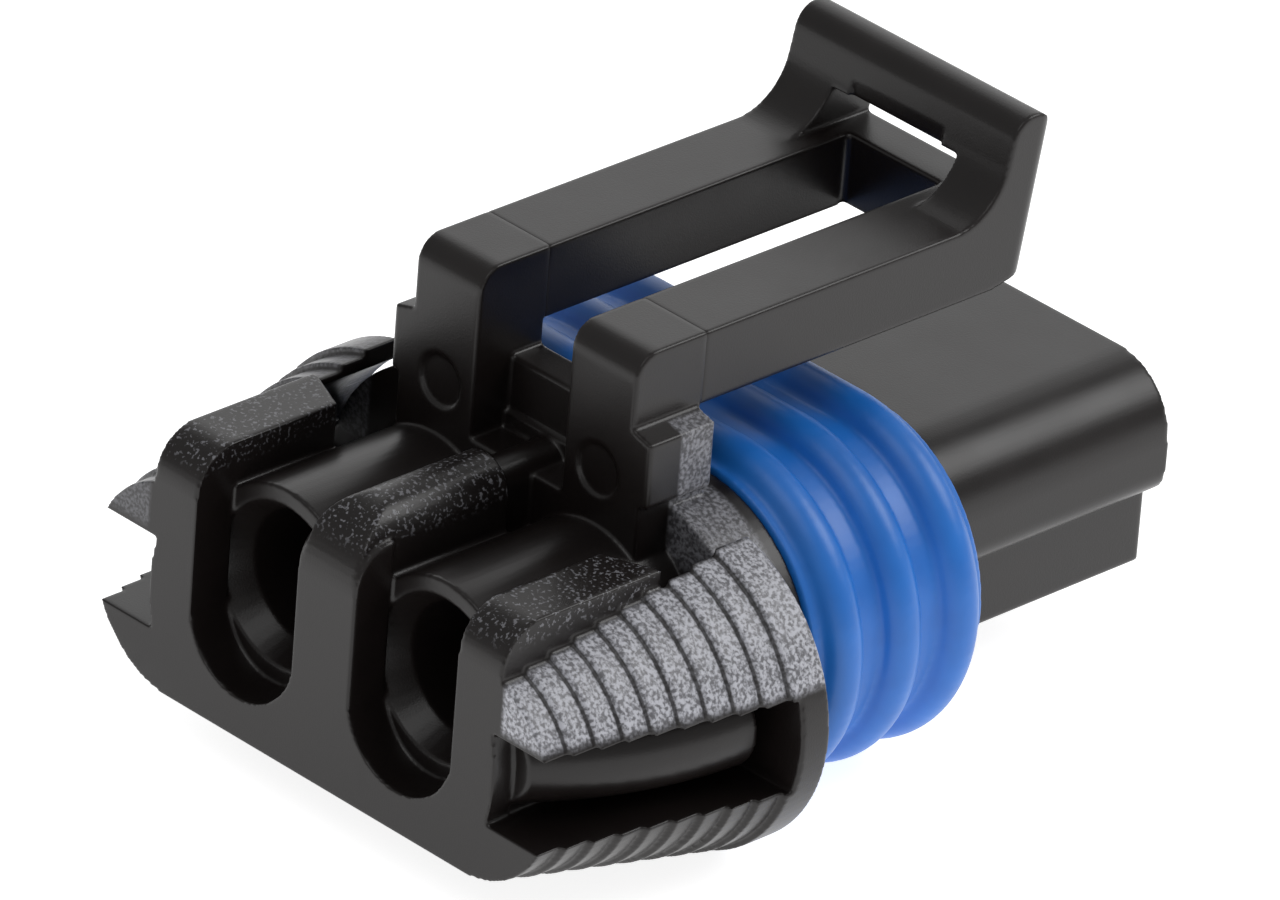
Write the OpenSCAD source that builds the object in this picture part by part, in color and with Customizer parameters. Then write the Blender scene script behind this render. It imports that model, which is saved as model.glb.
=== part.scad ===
// Two-way sealed automotive connector body with an integral lock arm
// +Y points along the mating direction, +Z towards the lock arm, origin on the cable end face

/* [Cavities] */
// distance between the two cavity axes
cavity_pitch = 8.76; // [6:0.01:12]
// height of the cavity axes above the grip axis
cavity_z = 1.42; // [0:0.01:3]
// bore diameter of a cable seal chamber
bore_d = 5.4; // [4:0.1:6]
// diameter of the lead-in at the tube mouth
lead_d = 6.8; // [5:0.1:7.5]
// length of the lead-in
lead_len = 1.2; // [0.5:0.1:2]
// outside diameter of a cavity tube
tube_d = 8.18; // [6:0.01:10]
// length of the cable seal bores behind the lead-in
bore_len = 9.2; // [6:0.1:14]
// width of a terminal chamber
chamber_w = 4; // [3:0.1:4]
// height of a terminal chamber
chamber_h = 3.6; // [3:0.1:4]
// half width of a blade entry in the nose
entry_hw = 1.9; // [1.5:0.05:2]
// half height of a blade entry in the nose
entry_hh = 0.75; // [0.5:0.05:1]
// thickness of the front wall of the nose
front_wall = 1.6; // [1:0.1:3]

/* [Cable end plate] */
// thickness of the cable end plate
plate_t = 1.9; // [1:0.1:4]
// half width of a cable slot
slot_hw = 2.74; // [2:0.01:4]
// radius of the round bottom of a cable slot
slot_r = 2.86; // [2:0.01:4]
// height of the centre of the slot bottom
slot_z = 0.12; // [-1:0.01:2]
// width of the countersink around a slot
slot_flare = 0.55; // [0.1:0.05:1]

/* [Grips] */
// half distance between the centres of the rounded grip sides
grip_cx = 8.1; // [6:0.1:10]
// outline radius at the cable end
grip_r0 = 4.45; // [3:0.05:6]
// growth of the radius from one rib to the next
grip_step = 0.235; // [0:0.005:0.4]
// length of a rib along the connector
rib_pitch = 1.18; // [0.8:0.01:2]
// number of ribs behind the front band
rib_count = 9; // [5:1:12]
// outline radius at the rear edge of the front band
band_r0 = 6.6; // [5:0.05:8]
// outline radius at the front edge of the front band
band_r1 = 6.6; // [5:0.05:8]
// position of the front face of the band
band_y = 12.3; // [10:0.1:14]
// half height of the side windows
window_hh = 1.95; // [1:0.05:3]
// position of the inner face of the window frame
window_y = 10.9; // [8:0.1:12]
// position of the front end of the beam in the window
beam_y = 9.9; // [7:0.1:11]
// distance of the window floor from the middle at the cable end
notch_x = 9.25; // [8:0.05:11]

/* [Side rails] */
// distance of the inner rail face from the middle
rail_in = 7.2; // [6:0.05:8]
// distance of the outer rail face from the middle
rail_out = 9.55; // [9:0.05:11]
// height of the rail top
rail_top = 6.35; // [5:0.05:8]
// length of the rail at its outer face
rail_len = 7.9; // [5:0.1:10]
// set-back of the rail end at its inner face
rail_slant = 0.9; // [0:0.05:2]

/* [Middle rib] */
// half width of the middle rib
rib_hw = 1.38; // [0.8:0.01:2]
// height of the middle rib
rib_top = 7.2; // [5:0.05:8]
// length of the high part of the middle rib
rib_len = 7.9; // [5:0.1:9]
// half width of the low part of the middle rib
low_rib_hw = 0.95; // [0.5:0.01:1.5]
// height of the low part of the middle rib
low_rib_top = 6.7; // [5:0.05:8]

/* [Lock arm] */
// position of the rear face of the posts
post_y = 9.46; // [8:0.01:12]
// position of the front face of the posts
post_front = 12.95; // [11:0.05:15]
// half of the free gap between the arms
arm_in = 2.5; // [2:0.05:4]
// half width over the arms
arm_out = 6; // [5:0.05:8]
// height of the underside of the arms
arm_z0 = 10.15; // [8:0.05:12]
// height of the top of the arms
arm_z1 = 13.2; // [11:0.05:15]
// position of the locking face of the crossbar
lock_y = 28.6; // [25:0.1:32]
// lean of the rear face of the finger lip in degrees
lip_lean = 12; // [0:1:25]
// radius of the rounded edge of the finger lip
lip_r = 1.08; // [0.6:0.02:1.5]
// position of the centre of the rounded lip edge
lip_y = 29.82; // [28:0.02:31]
// height of the centre of the rounded lip edge
lip_z = 16.1; // [14:0.05:18]
// radius of the curved front face of the lip
lip_front_r = 14; // [10:0.5:30]
// fillet radius between the arm and the lip
lip_fillet = 2.6; // [1:0.1:4]
// rounding of the corners at both ends of the lip
lip_corner = 0.8; // [0.2:0.1:1.5]
// half width of the slot in the finger lip
lip_slot_hw = 3.4; // [2:0.1:5]
// height of the slot in the finger lip
lip_slot_h = 1.65; // [1:0.05:3]
// gap between the arm roots and the posts
root_gap = 0.12; // [0.05:0.01:0.3]

/* [Seal] */
// half distance between the centres of the rounded seal ends
seal_cx = 5.5; // [4:0.1:7]
// height of the seal axis
seal_z = 0.6; // [0:0.05:2]
// radius over the seal ribs
seal_tip_r = 7.2; // [6:0.05:9]
// radius in the valleys of the seal
seal_valley_r = 6.4; // [5:0.05:8]
// radius of the rounding of a seal rib
crest_r = 0.95; // [0.5:0.05:1.5]
// position of the first seal rib
crest_y = 15.5; // [14:0.1:18]
// distance from one seal rib to the next
crest_pitch = 3.05; // [2:0.05:4]
// radius of the seat inside the seal
seat_r = 5; // [4:0.05:6]
// radius of the flange behind the seal
flange_r = 6.2; // [5:0.05:7]
// position of the rear face of the seal
seal_y0 = 14.1; // [12:0.1:16]
// position of the front face of the seal
seal_y1 = 23; // [18:0.1:26]

/* [Nose] */
// position of the front face of the nose
nose_y = 36.5; // [30:0.1:42]
// half width of the upper part of the nose
nose_hw = 8.28; // [6:0.02:10]
// height of the top of the nose
nose_z1 = 4.95; // [3:0.05:7]
// height of the step in the side of the nose
nose_step_z = -0.35; // [-2:0.05:2]
// half width of the lower part of the nose
nose_low_hw = 7.25; // [5:0.05:9]
// height of the bottom of the nose
nose_z0 = -3.7; // [-5:0.05:-2]
// radius of the upper edges of the nose
nose_r = 3; // [1:0.1:4]

/* [Hidden] */
$fn = 64;
eps = 0.01;
cavity_x = cavity_pitch / 2;
grip_top_y = rib_pitch * rib_count;
base_z = -grip_r0;
block_hw = 7;
block_low_z = 7.2;
centre_block_y = 11.35;
centre_block_z = 9.05;
floor_z = 6.1;
flange_y0 = 11.15;
groove_r = 6.45;
root_r = (arm_z1 - arm_z0) / 2;
root_y = post_front + root_gap + root_r;
root_z = (arm_z1 + arm_z0) / 2;
lip_foot_y = 29.5;
lip_foot_z = 10.92;
lip_foot_r = 0.52;
ejector_r = 1.13;
ejector_x = 4.31;
ejector_z = 7.77;
crest_c = seal_tip_r - crest_r;
// tangent points of the lip's rear face with its rounded edge and with its fillet
lip_back = [lip_y - lip_r * cos(lip_lean), lip_z + lip_r * sin(lip_lean)];
fillet_y = lip_back[0] - (lip_back[1] - arm_z1 - lip_fillet) * tan(lip_lean) - lip_fillet / cos(lip_lean);
fillet_end = [fillet_y + lip_fillet * cos(lip_lean), arm_z1 + lip_fillet - lip_fillet * sin(lip_lean)];

// a profile drawn in X and Z, extruded from y0 to y1
module along_y(y0, y1) {
  translate([0, y1, 0])
    rotate([90, 0, 0])
      linear_extrude(y1 - y0)
        children();
}

// a profile drawn in Y and Z, extruded from x0 to x1
module along_x(x0, x1) {
  translate([x0, 0, 0])
    rotate([90, 0, 90])
      linear_extrude(x1 - x0)
        children();
}

module both_sides() {
  children();
  mirror([1, 0, 0])
    children();
}

// outline with two round ends
module oblong(r, cx, cz) {
  translate([-cx, cz])
    circle(r);
  translate([cx, cz])
    circle(r);
  translate([-cx, cz - r])
    square([2 * cx, 2 * r]);
}

// rectangle in Y and Z with a rounded upper rear corner
module rear_round(len, z0, z1, r) {
  translate([0, z0])
    square([len, z1 - z0 - r]);
  translate([r, z0])
    square([len - r, z1 - z0]);
  translate([r, z1 - r])
    circle(r);
}

// open-topped outline of one cable slot
module slot_outline(grow) {
  translate([cavity_x, slot_z])
    circle(slot_r + grow);
  translate([cavity_x - slot_hw - grow, slot_z])
    square([2 * (slot_hw + grow), 12]);
}

// grip outline at one rib, without the trough between the rails
module grip_section(r) {
  difference() {
    oblong(r, grip_cx, 0);
    translate([-rail_in, 0])
      square([2 * rail_in, 10]);
  }
}

// widening band in front of the ribs
module front_band() {
  both_sides()
    translate([grip_cx, grip_top_y - eps, 0])
      rotate([-90, 0, 0])
        cylinder(r1 = band_r0, r2 = band_r1, h = band_y - grip_top_y + eps, $fn = 96);
  along_x(-grip_cx, grip_cx)
    polygon([[grip_top_y - eps, -band_r0], [band_y, -band_r1], [band_y, band_r1], [grip_top_y - eps, band_r0]]);
}

module grips() {
  for (i = [0 : rib_count - 1])
    along_y(i * rib_pitch, (i + 1) * rib_pitch)
      grip_section(grip_r0 + i * grip_step);
  difference() {
    front_band();
    translate([-rail_in, grip_top_y - 1, 0])
      cube([2 * rail_in, 4, 10]);
  }
  both_sides()
    along_x(rail_in, rail_out)
      rear_round(band_y, 0, rail_top, 1.9);
}

// fill between the rails that carries the tubes
module tubes() {
  both_sides()
    along_y(plate_t, flange_y0 + eps)
      translate([cavity_x, cavity_z])
        circle(tube_d / 2);
  both_sides()
    along_y(0, plate_t)
      translate([rail_in - eps, -1])
        square([0.4, 2]);
}

module middle_rib() {
  intersection() {
    along_x(-2, 2)
      rear_round(rib_len, -1, rib_top, 3);
    along_y(0, rib_len) {
      translate([0, rib_top - rib_hw])
        circle(rib_hw);
      translate([-rib_hw, -1])
        square([2 * rib_hw, rib_top - rib_hw + 1]);
    }
  }
  intersection() {
    along_x(-2, 2)
      rear_round(plate_t, -1, rib_top - 1.2, 1.8);
    along_y(0, plate_t)
      translate([-1.6, -1])
        square([3.2, 10]);
  }
  along_y(rib_len - eps, centre_block_y + eps) {
    translate([0, low_rib_top - low_rib_hw])
      circle(low_rib_hw);
    translate([-low_rib_hw, 0])
      square([2 * low_rib_hw, low_rib_top - low_rib_hw]);
  }
}

// lower posts, the ledge beside them and the block between them
module post_base() {
  both_sides()
    along_y(post_y, post_front - 0.15)
      polygon([[arm_in, 0], [6.6, 0], [6.6, block_low_z], [block_hw, block_low_z], [block_hw, arm_z0 - 0.25],
        [arm_out - 0.1, arm_z0 + 0.05], [arm_in, arm_z0 + 0.05]]);
  both_sides()
    along_x(arm_in, arm_out)
      translate([post_y, 0])
        rear_round(post_front - post_y, 0, arm_z1, 1.1);
  along_y(centre_block_y, post_front)
    translate([-arm_in - eps, 0])
      square([2 * arm_in + 2 * eps, centre_block_z]);
  along_y(post_y, post_front)
    translate([-arm_in - eps, 0])
      square([2 * arm_in + 2 * eps, floor_z]);
}

module nose_outline() {
  intersection() {
    oblong(nose_r, nose_hw - nose_r, nose_z1 - nose_r);
    translate([-nose_hw, nose_z1 - nose_r])
      square([2 * nose_hw, nose_r]);
  }
  translate([-nose_hw, nose_step_z + 1])
    square([2 * nose_hw, nose_z1 - nose_r - nose_step_z - 1 + eps]);
  oblong(1, nose_hw - 1, nose_step_z + 1);
  translate([-nose_low_hw, nose_z0])
    square([2 * nose_low_hw, nose_step_z - nose_z0 + 1]);
}

module front_body() {
  along_y(flange_y0, seal_y0)
    oblong(flange_r, seal_cx, seal_z);
  along_y(seal_y0 - eps, seal_y1)
    oblong(seat_r, seal_cx, seal_z);
  along_y(seal_y1 - eps, nose_y)
    nose_outline();
}

// round beam that shows inside a side window
module window_floor() {
  intersection() {
    translate([-3.7, 10.5, 0.3])
      rotate_extrude($fn = 160) {
        translate([15.1, 0])
          circle(1.9, $fn = 32);
        translate([10, -1.9])
          square([5.1, 3.8]);
      }
    translate([notch_x - 0.6, 1, -2.5])
      cube([6, beam_y - 1, 5]);
  }
}

module window_cut() {
  difference() {
    translate([notch_x, -1, -window_hh])
      cube([8, window_y + 1, 2 * window_hh]);
    window_floor();
    // slightly rounded end of the wall at the cable end
    translate([2.3, 0, 0])
      rotate([-90, 0, 0])
        cylinder(r = 7.22, h = 1.1);
  }
}

// open pocket in front of the rail end, outside the tubes
module rail_pocket() {
  intersection() {
    translate([0, 0, window_hh + 0.25])
      linear_extrude(8)
        polygon([[5, rail_len - rail_slant - 0.9], [rail_in, rail_len - rail_slant], [rail_out - 0.3, rail_len],
          [rail_out + 4, rail_len + 0.3], [rail_out + 4, band_y + 1], [5, band_y + 1]]);
    along_y(5, band_y + 1) {
      oblong(groove_r, seal_cx, seal_z);
      translate([5, 4])
        square([rail_out - 5, 6]);
    }
  }
  // slit between the end of the window beam and the flange
  along_y(beam_y, flange_y0)
    translate([notch_x, window_hh - 0.7])
      square([2.6, 1.2]);
}

module cavity() {
  // lead-in and cable seal bore, open to the plate slot
  translate([cavity_x, plate_t - eps, cavity_z])
    rotate([-90, 0, 0])
      cylinder(d1 = lead_d, d2 = bore_d, h = lead_len + eps);
  translate([cavity_x, plate_t + lead_len - eps, cavity_z])
    rotate([-90, 0, 0])
      cylinder(d = bore_d, h = bore_len + eps);
  // terminal chamber, within the bore's outline
  translate([cavity_x - chamber_w / 2, plate_t + lead_len + bore_len - eps, cavity_z - chamber_h / 2])
    cube([chamber_w, nose_y - front_wall - plate_t - lead_len - bore_len + eps, chamber_h]);
  // blade entry in the front wall
  translate([cavity_x - entry_hw, nose_y - front_wall - eps, cavity_z - entry_hh])
    cube([2 * entry_hw, front_wall + 1, 2 * entry_hh]);
  translate([cavity_x, nose_y, cavity_z])
    rotate([90, 0, 0])
      entry_chamfer();
}

// lead-in around a blade entry
module entry_chamfer() {
  for (k = [1 : 3])
    translate([-entry_hw - 0.2 * k, -entry_hh - 0.2 * k, -1])
      cube([2 * entry_hw + 0.4 * k, 2 * entry_hh + 0.4 * k, 1.8 - 0.25 * k]);
}

// rear part with the grips, the rails and the cable end plate
module grip_shell() {
  difference() {
    grips();
    both_sides() {
      along_y(-1, plate_t)
        slot_outline(0);
      window_cut();
      rail_pocket();
    }
    // underside between the lower grips
    translate([-6.4, plate_t + 0.6, -10])
      cube([12.8, window_y - plate_t - 0.6, 10 + base_z]);
  }
}

module housing() {
  color([0.05, 0.05, 0.055])
    difference() {
      union() {
        grip_shell();
        tubes();
        middle_rib();
        post_base();
        front_body();
      }
      both_sides() {
        cavity();
        // recess left by an ejector pin
        translate([ejector_x, post_y - 1, ejector_z])
          rotate([-90, 0, 0])
            cylinder(r = ejector_r, h = 1.12);
      }
    }
}

// side outline of the finger lip with its curved front and its fillet to the arm
module lip_outline() {
  translate([lip_y, lip_z])
    circle(lip_r);
  translate([lip_foot_y, lip_foot_z])
    circle(lip_foot_r);
  intersection() {
    translate([lip_y + lip_r - lip_front_r, lip_z])
      circle(lip_front_r, $fn = 240);
    difference() {
      polygon([[lock_y - 3.5, arm_z0 + 0.5], [lip_foot_y, lip_foot_z - lip_foot_r], [lip_foot_y + 0.3, lip_foot_z],
        [lip_y + 3, lip_foot_z], [lip_y + 3, lip_z], [lip_y, lip_z], lip_back, fillet_end, [fillet_y, arm_z1]]);
      translate([fillet_y, arm_z1 + lip_fillet])
        circle(lip_fillet);
    }
  }
}

// side outline of the arm, the crossbar and the finger lip
module arm_outline() {
  translate([root_y, root_z])
    circle(root_r);
  difference() {
    translate([root_y, arm_z0])
      square([lip_foot_y - root_y, arm_z1 - arm_z0]);
    polygon([[lock_y - 0.3, arm_z0], [lip_foot_y, lip_foot_z - lip_foot_r], [lip_foot_y + 1, arm_z0 - 1], [lock_y, arm_z0 - 1]]);
  }
  lip_outline();
}

module lock_arm() {
  color([0.05, 0.05, 0.055])
    difference() {
      intersection() {
        along_x(-arm_out, arm_out)
          arm_outline();
        // rounded corners at both ends of the lip
        translate([0, lip_y + lip_r, lip_z])
          rotate([-9, 0, 0])
            translate([0, 0, -12])
              linear_extrude(20) {
                translate([-arm_out, -20])
                  square([2 * arm_out, 20 - lip_corner]);
                translate([-arm_out + lip_corner, -lip_corner - eps])
                  square([2 * (arm_out - lip_corner), lip_corner + 1]);
                for (s = [-1, 1])
                  translate([s * (arm_out - lip_corner), -lip_corner])
                    circle(lip_corner);
              }
      }
      translate([-arm_in, 10, 5])
        cube([2 * arm_in, lock_y - 10, 20]);
      translate([-lip_slot_hw, 25, arm_z1])
        cube([2 * lip_slot_hw, 10, lip_slot_h]);
    }
}

// radius against length of the seal wall with its rounded ribs
module seal_profile() {
  translate([seat_r + 0.02, seal_y0 + 0.02])
    square([seal_valley_r - seat_r - 0.02, seal_y1 - seal_y0 - 0.02]);
  for (k = [0 : 2])
    translate([crest_c, crest_y + k * crest_pitch])
      circle(crest_r, $fn = 32);
}

module perimeter_seal() {
  color([0.02, 0.2, 0.75])
    for (s = [-1, 1]) {
      // round end
      translate([s * seal_cx, 0, seal_z])
        rotate([-90, -s * 90, 0])
          rotate_extrude(angle = 180, $fn = 72)
            seal_profile();
      // straight run
      translate([-s * seal_cx, 0, seal_z])
        rotate([0, s * 90, 0])
          linear_extrude(2 * seal_cx)
            seal_profile();
    }
}

housing();
lock_arm();
perimeter_seal();
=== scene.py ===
"""Looks of a sealed automotive connector body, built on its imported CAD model.

Lengths named with _MM are millimetres; everything handed to Blender is in metres.
"""
import math

import bmesh
import bpy
from mathutils import Matrix, Vector


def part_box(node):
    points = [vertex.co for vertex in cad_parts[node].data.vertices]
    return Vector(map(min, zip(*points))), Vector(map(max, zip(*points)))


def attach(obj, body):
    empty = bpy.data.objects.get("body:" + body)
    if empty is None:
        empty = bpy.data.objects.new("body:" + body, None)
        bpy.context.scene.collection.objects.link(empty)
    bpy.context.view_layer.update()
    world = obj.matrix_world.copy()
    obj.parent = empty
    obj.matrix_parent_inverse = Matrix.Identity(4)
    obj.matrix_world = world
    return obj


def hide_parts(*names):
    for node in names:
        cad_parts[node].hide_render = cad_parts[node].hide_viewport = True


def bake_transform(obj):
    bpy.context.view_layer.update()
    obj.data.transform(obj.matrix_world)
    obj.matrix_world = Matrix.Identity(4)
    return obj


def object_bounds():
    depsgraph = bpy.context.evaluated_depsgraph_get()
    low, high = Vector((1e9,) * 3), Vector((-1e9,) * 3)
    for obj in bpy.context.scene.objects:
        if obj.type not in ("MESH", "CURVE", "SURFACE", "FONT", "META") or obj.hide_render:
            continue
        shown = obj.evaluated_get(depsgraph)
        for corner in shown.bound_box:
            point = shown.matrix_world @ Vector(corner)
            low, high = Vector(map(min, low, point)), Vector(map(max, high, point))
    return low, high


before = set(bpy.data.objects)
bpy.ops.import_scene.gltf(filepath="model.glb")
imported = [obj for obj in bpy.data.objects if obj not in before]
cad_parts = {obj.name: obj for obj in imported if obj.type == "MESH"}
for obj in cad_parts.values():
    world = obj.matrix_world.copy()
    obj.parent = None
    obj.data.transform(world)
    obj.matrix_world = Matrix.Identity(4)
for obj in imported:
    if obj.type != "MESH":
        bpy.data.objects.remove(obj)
CAD_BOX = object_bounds()

MM = 0.001

# places read from the CAD nodes
SEAL_LO, SEAL_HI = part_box("perimeter_seal")
ARM_LO, ARM_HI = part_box("lock_arm")
SEAM_Y = (SEAL_LO.y + SEAL_HI.y) / 2  # the housing's two pieces meet under the seal

# places that the boxes don't give
ARM_INNER_MM = 2.5  # inner faces of the two arms, from the middle
ARM_TOP_MM = 13.2
POST_FRONT_MM = 12.95  # front faces of the posts, where the arms start
ROOT_LENGTH_MM = 2.0  # how far an arm's full section is filled in over its rounded root
TENON_BACK_MM = 1.0  # what the posts get to run into the arms: how far it starts behind their front
TENON_FRONT_MM = 0.5  # and how far it reaches past it
INSET_MM = 0.03  # its clearance to the arm's skin
RIB_PITCH_MM = 1.18

# voxel sizes, smoothing rounds and triangle budgets of the dressed pieces
GRIP_MESH = (0.09 * MM, 3, 190000)
NOSE_MESH = (0.12 * MM, 4, 120000)
LOOP_MESH = (0.09 * MM, 3, 120000)
SEAL_MESH = (0.12 * MM, 6, 150000)


# ---------------------------------------------------------------- mesh tools

def apply_modifiers(piece):
    """Bakes a piece's modifiers into its mesh."""
    graph = bpy.context.evaluated_depsgraph_get()
    mesh = bpy.data.meshes.new_from_object(piece.evaluated_get(graph))
    piece.modifiers.clear()
    old = piece.data
    piece.data = mesh
    bpy.data.meshes.remove(old)


def add_box(bm, low, high):
    """Adds a closed box to a bmesh, corners in metres."""
    size = Vector(high) - Vector(low)
    middle = (Vector(high) + Vector(low)) / 2
    place = Matrix.Translation(middle) @ Matrix.Diagonal((*size, 1.0))
    bmesh.ops.create_cube(bm, size=1.0, matrix=place)


def box_object(name, low, high):
    bm = bmesh.new()
    add_box(bm, low, high)
    mesh = bpy.data.meshes.new(name)
    bm.to_mesh(mesh)
    bm.free()
    tool = bpy.data.objects.new(name, mesh)
    bpy.context.collection.objects.link(tool)
    return tool


def copy_of(node, name):
    """A free copy of a CAD node's mesh, as the start of a dressed piece."""
    piece = bpy.data.objects.new(name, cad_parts[node].data.copy())
    bpy.context.collection.objects.link(piece)
    piece.data.materials.clear()
    return piece


def boolean(piece, tool, operation):
    step = piece.modifiers.new(operation, "BOOLEAN")
    step.operation = operation
    step.solver = "EXACT"
    step.object = tool
    apply_modifiers(piece)
    bpy.data.objects.remove(tool)


def mould(piece, voxel, rounds, budget):
    """Rounds every edge as a moulding has them: fine voxels, a few smoothing steps, then fewer triangles."""
    remesh = piece.modifiers.new("voxels", "REMESH")
    remesh.mode = "VOXEL"
    remesh.voxel_size = voxel
    remesh.adaptivity = 0
    soften = piece.modifiers.new("soften", "SMOOTH")
    soften.factor = 0.5
    soften.iterations = rounds
    apply_modifiers(piece)
    triangles = sum(len(face.vertices) - 2 for face in piece.data.polygons)
    if triangles > budget:
        fewer = piece.modifiers.new("fewer", "DECIMATE")
        fewer.ratio = budget / triangles
        apply_modifiers(piece)
    piece.data.shade_smooth()
    print(piece.name, "triangles", triangles, "->", len(piece.data.polygons))


# ---------------------------------------------------------------- pieces

def build_grip_body():
    """The part of the housing behind the middle of the seal."""
    piece = copy_of("housing", "grip_body")
    tool = box_object("cut", (-1, -1, -1), (1, SEAM_Y, 1))
    boolean(piece, tool, "INTERSECT")
    # the posts run a little into the arms, so that no gap shows where these meet
    for side in (-1, 1):
        inner, outer = sorted((side * (ARM_INNER_MM + INSET_MM) * MM, side * (ARM_HI.x - INSET_MM * MM)))
        low = (inner, (POST_FRONT_MM - TENON_BACK_MM) * MM, ARM_LO.z + INSET_MM * MM)
        high = (outer, (POST_FRONT_MM + TENON_FRONT_MM) * MM, (ARM_TOP_MM - INSET_MM) * MM)
        boolean(piece, box_object("root", low, high), "UNION")
    mould(piece, *GRIP_MESH)
    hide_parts("housing")
    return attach(piece, "connector")


def build_nose_body():
    """The seat under the seal and the nose."""
    piece = copy_of("housing", "nose_body")
    tool = box_object("cut", (-1, SEAM_Y, -1), (1, 1, 1))
    boolean(piece, tool, "INTERSECT")
    mould(piece, *NOSE_MESH)
    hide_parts("housing")
    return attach(piece, "connector")


def build_lock_loop():
    """The two arms, crossbar and finger lip; the arms run on to the posts."""
    piece = copy_of("lock_arm", "lock_loop")
    for side in (-1, 1):
        inner, outer = sorted((side * ARM_INNER_MM * MM, side * ARM_HI.x))
        low = (inner, POST_FRONT_MM * MM, ARM_LO.z)
        high = (outer, (POST_FRONT_MM + ROOT_LENGTH_MM) * MM, ARM_TOP_MM * MM)
        boolean(piece, box_object("root", low, high), "UNION")
    mould(piece, *LOOP_MESH)
    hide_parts("lock_arm")
    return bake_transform(piece)


def build_ring_seal():
    piece = copy_of("perimeter_seal", "ring_seal")
    mould(piece, *SEAL_MESH)
    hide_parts("perimeter_seal")
    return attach(piece, "connector")


# ---------------------------------------------------------------- materials

class Graph:
    """Short hands for a material's node tree; places along the part are given in millimetres."""

    def __init__(self, name):
        self.material = bpy.data.materials.new(name)
        self.material.use_nodes = True
        self.nodes = self.material.node_tree.nodes
        self.links = self.material.node_tree.links
        self.nodes.clear()
        self.place = self.nodes.new("ShaderNodeTexCoord").outputs["Object"]

    def put(self, socket, value):
        """Links an output to the socket, or sets a constant."""
        if hasattr(value, "links"):
            self.links.new(value, socket)
        else:
            socket.default_value = value

    def add(self, kind, **sockets):
        node = self.nodes.new(kind)
        for key, value in sockets.items():
            self.put(node.inputs[key.replace("_", " ")], value)
        return node

    def maths(self, operation, *values):
        node = self.nodes.new("ShaderNodeMath")
        node.operation = operation
        for socket, value in zip(node.inputs, values):
            self.put(socket, value)
        return node.outputs[0]

    def times(self, first, *others):
        for other in others:
            first = self.maths("MULTIPLY", first, other)
        return first

    def ramp(self, value, low, high):
        """0 below low, 1 above high, smooth in between."""
        node = self.nodes.new("ShaderNodeMapRange")
        node.interpolation_type = "SMOOTHSTEP"
        self.put(node.inputs["Value"], value)
        node.inputs["From Min"].default_value = low
        node.inputs["From Max"].default_value = high
        return node.outputs["Result"]

    def inverse(self, value):
        return self.maths("SUBTRACT", 1.0, value)

    def past(self, place, low_mm, high_mm):
        return self.ramp(place, low_mm * MM, high_mm * MM)

    def before(self, place, low_mm, high_mm):
        return self.inverse(self.past(place, low_mm, high_mm))

    def noise(self, size_mm, detail=2.0):
        node = self.add("ShaderNodeTexNoise", Vector=self.place, Scale=1 / (size_mm * MM), Detail=detail)
        return node.outputs[0]

    def bump(self, height, strength, distance_mm):
        node = self.add("ShaderNodeBump", Height=height, Strength=strength, Distance=distance_mm * MM)
        return node.outputs["Normal"]

    def blend_colours(self, amount, first, second):
        node = self.nodes.new("ShaderNodeMix")
        node.data_type = "RGBA"
        self.put(node.inputs[0], amount)
        node.inputs[6].default_value = (*first, 1)
        node.inputs[7].default_value = (*second, 1)
        return node.outputs[2]

    def finish(self, surface):
        output = self.nodes.new("ShaderNodeOutputMaterial")
        self.links.new(surface, output.inputs["Surface"])
        return self.material


def grain_and_painted_light_amount(g, coarse):
    """How much of the light grain shows on the grip ribs and the flange, with painted light and painted
    shade on the ribs, and where painted glints sit on the rails and the middle rib.
    """
    split = g.nodes.new("ShaderNodeSeparateXYZ")
    g.links.new(g.place, split.inputs[0])
    x, y, z = split.outputs
    side = g.maths("ABSOLUTE", x)

    ribs = g.times(g.past(side, 9.6, 9.9), g.past(z, 2.0, 2.5), g.before(y, 12.3, 12.45))
    # painted light: the grain is drawn stronger on the right grip, which the key lamp lights, and weaker on
    # the left one
    ribs = g.times(ribs, g.maths("MULTIPLY_ADD", g.past(x, -6, 6), 0.85, 0.25))
    # shadow line at the foot of each rib
    step = g.maths("FRACT", g.maths("DIVIDE", y, RIB_PITCH_MM * MM))
    foot = g.times(g.ramp(step, 0.84, 0.9), g.inverse(g.ramp(step, 0.96, 1.0)), g.before(y, 10.7, 10.8))
    ribs = g.times(ribs, g.inverse(g.times(foot, 0.85)))

    flange = g.times(g.past(y, 11.0, 11.2), g.before(y, 13.2, 13.6))
    flange = g.times(flange, g.times(g.past(x, 6.1, 6.3), g.past(z, 4.0, 5.0)), 0.5)

    rails = g.times(g.past(side, 7.0, 7.3), g.past(z, 5.2, 5.9), g.before(y, 8.0, 8.2))
    middle_rib = g.times(g.before(side, 1.4, 1.6), g.past(z, 5.5, 6.4), g.before(y, 7.9, 8.1))

    mottle = g.maths("MULTIPLY_ADD", g.ramp(coarse, 0.36, 0.66), 0.75, 0.25)
    grain_and_painted_light = g.times(g.maths("MAXIMUM", ribs, flange), mottle)
    # painted glints: spots of the light grain on the rail tops and the middle rib, where highlights fall
    painted_glints = g.times(g.maths("MAXIMUM", rails, middle_rib), g.ramp(coarse, 0.56, 0.64), 0.3)
    return g.maths("MAXIMUM", grain_and_painted_light, painted_glints)


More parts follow.
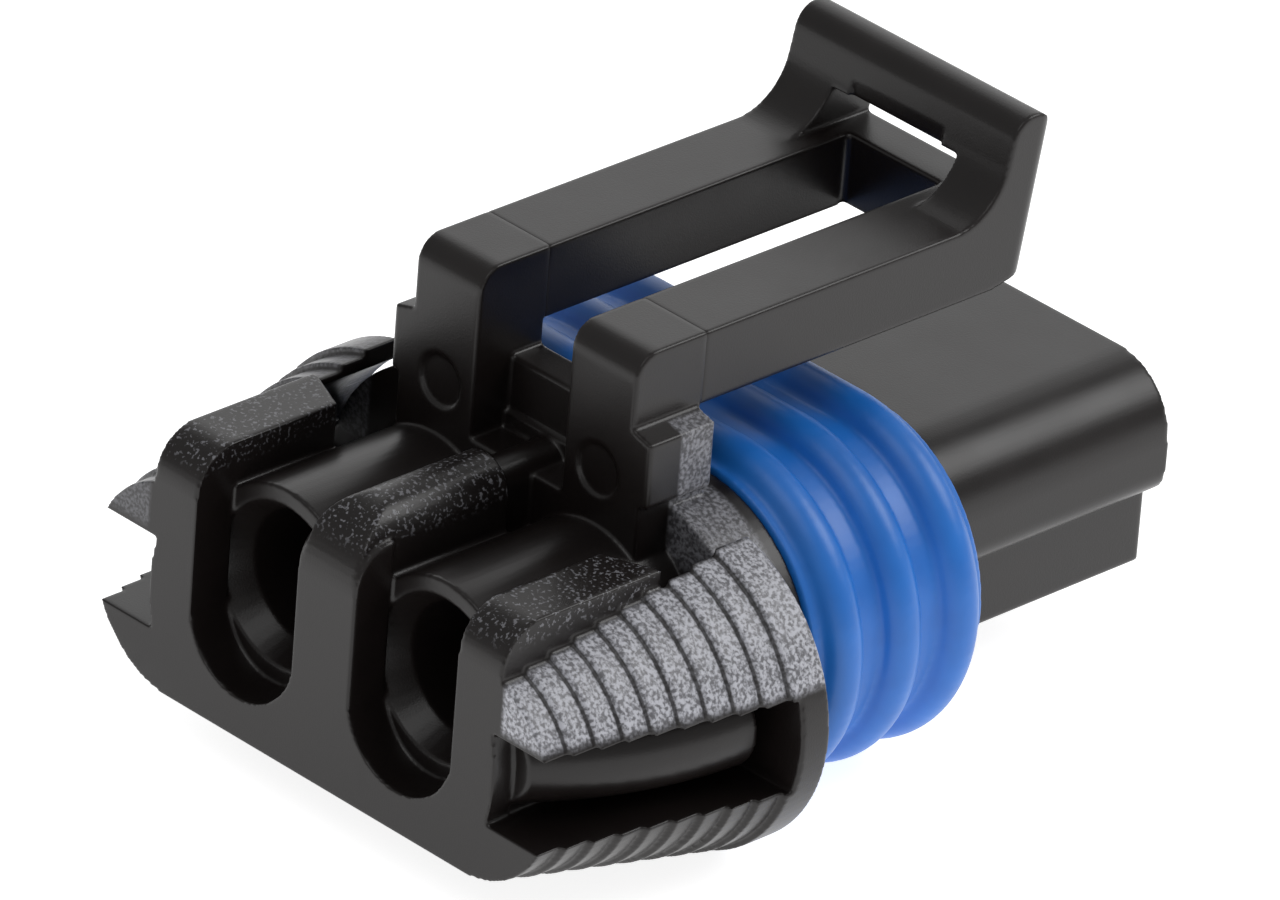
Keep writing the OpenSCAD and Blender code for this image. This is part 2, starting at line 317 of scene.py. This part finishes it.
def black_nylon():
    """Black glass-filled nylon: a fine satin, with light grain where the mould was eroded; the grain also
    carries painted light on the ribs and painted glints on the rails and middle rib.
    """
    g = Graph("black_nylon_satin")
    coarse = g.noise(0.16, 3.0)
    fine = g.noise(0.07)
    wide = g.noise(2.5)

    satin = g.add("ShaderNodeBsdfPrincipled", Normal=g.bump(fine, 0.25, 0.02))
    satin.inputs["Specular IOR Level"].default_value = 0.38
    g.put(satin.inputs["Base Color"], g.blend_colours(wide, (0.006, 0.0045, 0.0043), (0.010, 0.0075, 0.007)))
    g.put(satin.inputs["Roughness"], g.maths("MULTIPLY_ADD", wide, 0.12, 0.25))

    # the light grain, which also draws the painted light and the painted glints
    grain_and_painted_light = g.add("ShaderNodeBsdfPrincipled", Roughness=0.5, Normal=g.bump(coarse, 0.6, 0.06))
    grain_and_painted_light.inputs["Base Color"].default_value = (0.46, 0.465, 0.51, 1)

    mix = g.nodes.new("ShaderNodeMixShader")
    g.put(mix.inputs[0], grain_and_painted_light_amount(g, coarse))
    g.links.new(satin.outputs[0], mix.inputs[1])
    g.links.new(grain_and_painted_light.outputs[0], mix.inputs[2])
    return g.finish(mix.outputs[0])


def blue_silicone():
    """Blue silicone with a soft, slightly mottled sheen."""
    g = Graph("blue_silicone_soft")
    skin = g.bump(g.noise(0.12), 0.08, 0.02)
    shader = g.add("ShaderNodeBsdfPrincipled", Roughness=0.38, Normal=skin)
    tone = g.blend_colours(g.noise(1.5), (0.008, 0.12, 0.46), (0.014, 0.17, 0.60))
    g.put(shader.inputs["Base Color"], tone)
    return g.finish(shader.outputs[0])


def floor_white():
    """White paper that stays bright beside the part, with a faint shadow."""
    g = Graph("floor_white")
    shader = g.add("ShaderNodeBsdfPrincipled", Roughness=0.9, Normal=g.bump(g.noise(1.0), 0.02, 0.05))
    shader.inputs["Base Color"].default_value = (0.7, 0.7, 0.7, 1)
    shader.inputs["Emission Color"].default_value = (1, 1, 1, 1)
    shader.inputs["Emission Strength"].default_value = 0.85
    return g.finish(shader.outputs[0])


# ---------------------------------------------------------------- stage

CAMERA_AZIMUTH = math.radians(44.363)
CAMERA_ELEVATION = math.radians(28.378)
CAMERA_ROLL = math.radians(4.502)
CAMERA_DISTANCE_MM = 576.05
CAMERA_AIM_MM = Vector((4.879, 11.078, 8.347))
CAMERA_LENS_MM = 434.80
SENSOR_MM = 36.0
LIGHT_AIM_MM = Vector((0, 15, 3))
LIGHT_DISTANCE_MM = 400
FLOOR_HALF_M = 1.2
FLOOR_GAP_MM = 0.02


def direction(azimuth, elevation):
    """From the part towards a viewer or lamp; azimuth 0 is behind the cable end, 90 degrees on its right."""
    level = math.cos(elevation)
    return Vector((math.sin(azimuth) * level, -math.cos(azimuth) * level, math.sin(elevation)))


def add_camera():
    """A long lens behind, to the right of and above the connector, rolled a little."""
    back = direction(CAMERA_AZIMUTH, CAMERA_ELEVATION)
    level = Vector((math.cos(CAMERA_AZIMUTH), math.sin(CAMERA_AZIMUTH), 0))
    rise = back.cross(level)
    right = math.cos(CAMERA_ROLL) * level + math.sin(CAMERA_ROLL) * rise
    up = math.cos(CAMERA_ROLL) * rise - math.sin(CAMERA_ROLL) * level
    place = (CAMERA_AIM_MM + CAMERA_DISTANCE_MM * back) * MM
    data = bpy.data.cameras.new("camera")
    data.lens = CAMERA_LENS_MM
    data.sensor_width = SENSOR_MM
    data.clip_start = 0.01
    data.clip_end = 10
    camera = bpy.data.objects.new("camera", data)
    turn = Matrix((right, up, back)).transposed().to_4x4()
    camera.matrix_world = Matrix.Translation(place) @ turn
    bpy.context.collection.objects.link(camera)
    bpy.context.scene.camera = camera


def add_light(name, azimuth, elevation, size_mm, power):
    """A white soft box that looks at the connector's middle, angles in degrees."""
    back = direction(math.radians(azimuth), math.radians(elevation))
    data = bpy.data.lights.new(name, "AREA")
    data.shape = "RECTANGLE"
    data.size = size_mm[0] * MM
    data.size_y = size_mm[1] * MM
    data.energy = power
    light = bpy.data.objects.new(name, data)
    place = LIGHT_AIM_MM * MM + back * LIGHT_DISTANCE_MM * MM
    turn = back.to_track_quat("Z", "Y").to_matrix().to_4x4()
    light.matrix_world = Matrix.Translation(place) @ turn
    bpy.context.collection.objects.link(light)


def add_floor():
    bm = bmesh.new()
    low = CAD_BOX[0].z - FLOOR_GAP_MM * MM
    half = FLOOR_HALF_M
    corners = ((-half, -half), (half, -half), (half, half), (-half, half))
    bm.faces.new([bm.verts.new((x, y, low)) for x, y in corners])
    mesh = bpy.data.meshes.new("floor")
    bm.to_mesh(mesh)
    bm.free()
    floor = bpy.data.objects.new("floor", mesh)
    bpy.context.collection.objects.link(floor)
    mesh.materials.append(floor_white())


def add_world():
    world = bpy.data.worlds.new("studio")
    world.use_nodes = True
    world.node_tree.nodes["Background"].inputs["Color"].default_value = (1, 1, 1, 1)
    world.node_tree.nodes["Background"].inputs["Strength"].default_value = 0.4
    bpy.context.scene.world = world
    bpy.context.scene.view_settings.view_transform = "Standard"


add_camera()
add_floor()
add_world()
add_light("key", 146, 41, (210, 210), 0.62)
add_light("back_left", -136, 30, (400, 300), 0.36)
add_light("fill_front", 20, 60, (250, 250), 0.25)

nylon = black_nylon()
silicone = blue_silicone()
for piece in (build_grip_body(), build_nose_body(), build_lock_loop()):
    piece.data.materials.append(nylon)
ring = build_ring_seal()
ring.data.materials.append(silicone)
